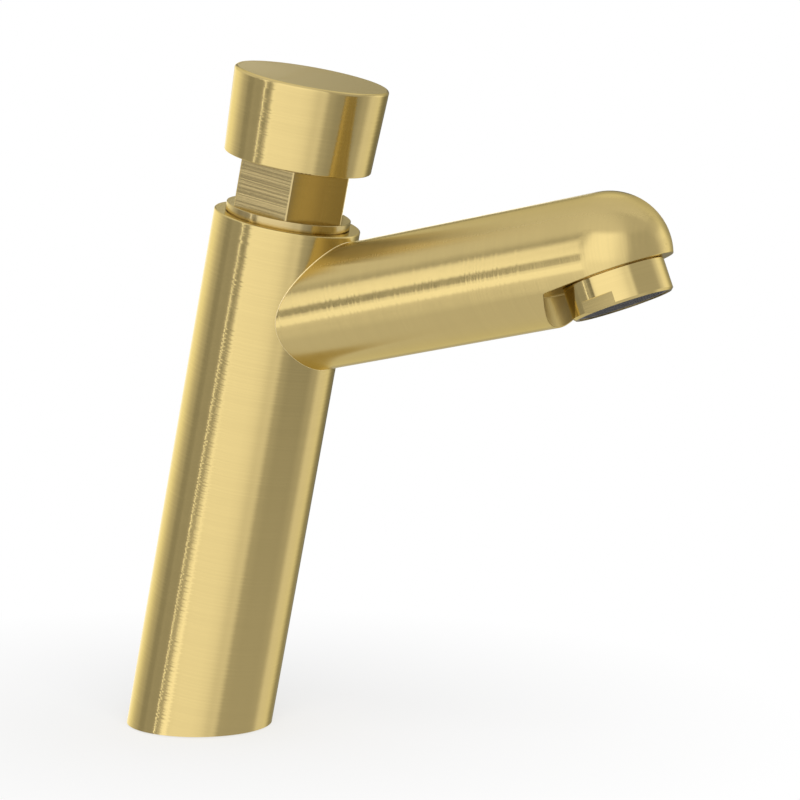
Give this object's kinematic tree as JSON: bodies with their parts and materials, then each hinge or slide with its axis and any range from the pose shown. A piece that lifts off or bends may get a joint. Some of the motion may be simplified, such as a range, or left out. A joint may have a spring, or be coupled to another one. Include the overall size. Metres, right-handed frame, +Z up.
{
  "type": "push timed tap",
  "caption": "Single-temperature basin tap: a leaning round tower with a rising round spout and a spring-returned push knob that closes by itself after a delay.",
  "frame": {"origin": "centre of the tower's base, on the deck it stands on", "axes": "+Z up from the deck, -Y towards the spout and its outlet, +X to the right of someone who faces the spout and looks along +Y"},
  "size_m": [0.042, 0.1646, 0.1842],
  "materials": {
    "brushed_gold": "brushed, matt gold coating",
    "raw_brass": "machined",
    "black_rubber": "matt",
    "steel": "drawn stainless steel",
    "white_plastic": "moulded acetal"
  },
  "bodies": {
    "tap_body": {"body_shell": "brushed_gold", "base_insert": "raw_brass", "deck_gasket": "black_rubber", "spout_arm": "brushed_gold", "aerator_collar": "brushed_gold", "aerator_insert": "white_plastic", "aerator_mesh": "steel", "aerator_gasket": "black_rubber", "flow_restrictor": "white_plastic", "bonnet": "brushed_gold", "bonnet_ring": "black_rubber", "guide_bush": "white_plastic", "stem_ring": "black_rubber", "seal_washer": "steel", "seal_circlip": "steel", "cartridge_sleeve": "raw_brass", "nose_ring": "black_rubber", "divider_ring": "black_rubber", "seat_ring": "steel", "inlet_strainer": "steel", "return_spring": "steel"},
    "plunger": {"stem": "raw_brass", "snap_ring": "steel", "piston": "white_plastic", "piston_seal": "black_rubber", "piston_clip": "steel", "valve_washer": "black_rubber", "valve_disc": "raw_brass", "valve_nut": "raw_brass"},
    "push_knob": {"knob_cap": "brushed_gold", "knob_hub": "raw_brass", "thrust_washer": "white_plastic"}
  },
  "joints": [
    {"name": "knob_press", "type": "slide", "parent": "tap_body", "child": "plunger", "axis": [0, 0.2079, -0.9781], "range_m": [0, 0.009], "stiffness_N_per_m": 1500, "springref_m": -0.0133, "deforming": ["return_spring"]},
    {"name": "knob_spin", "type": "hinge", "parent": "plunger", "child": "push_knob", "pos_m": [0, -0.03535, 0.16628], "axis": [0, -0.2079, 0.9781], "continuous": true}
  ]
}
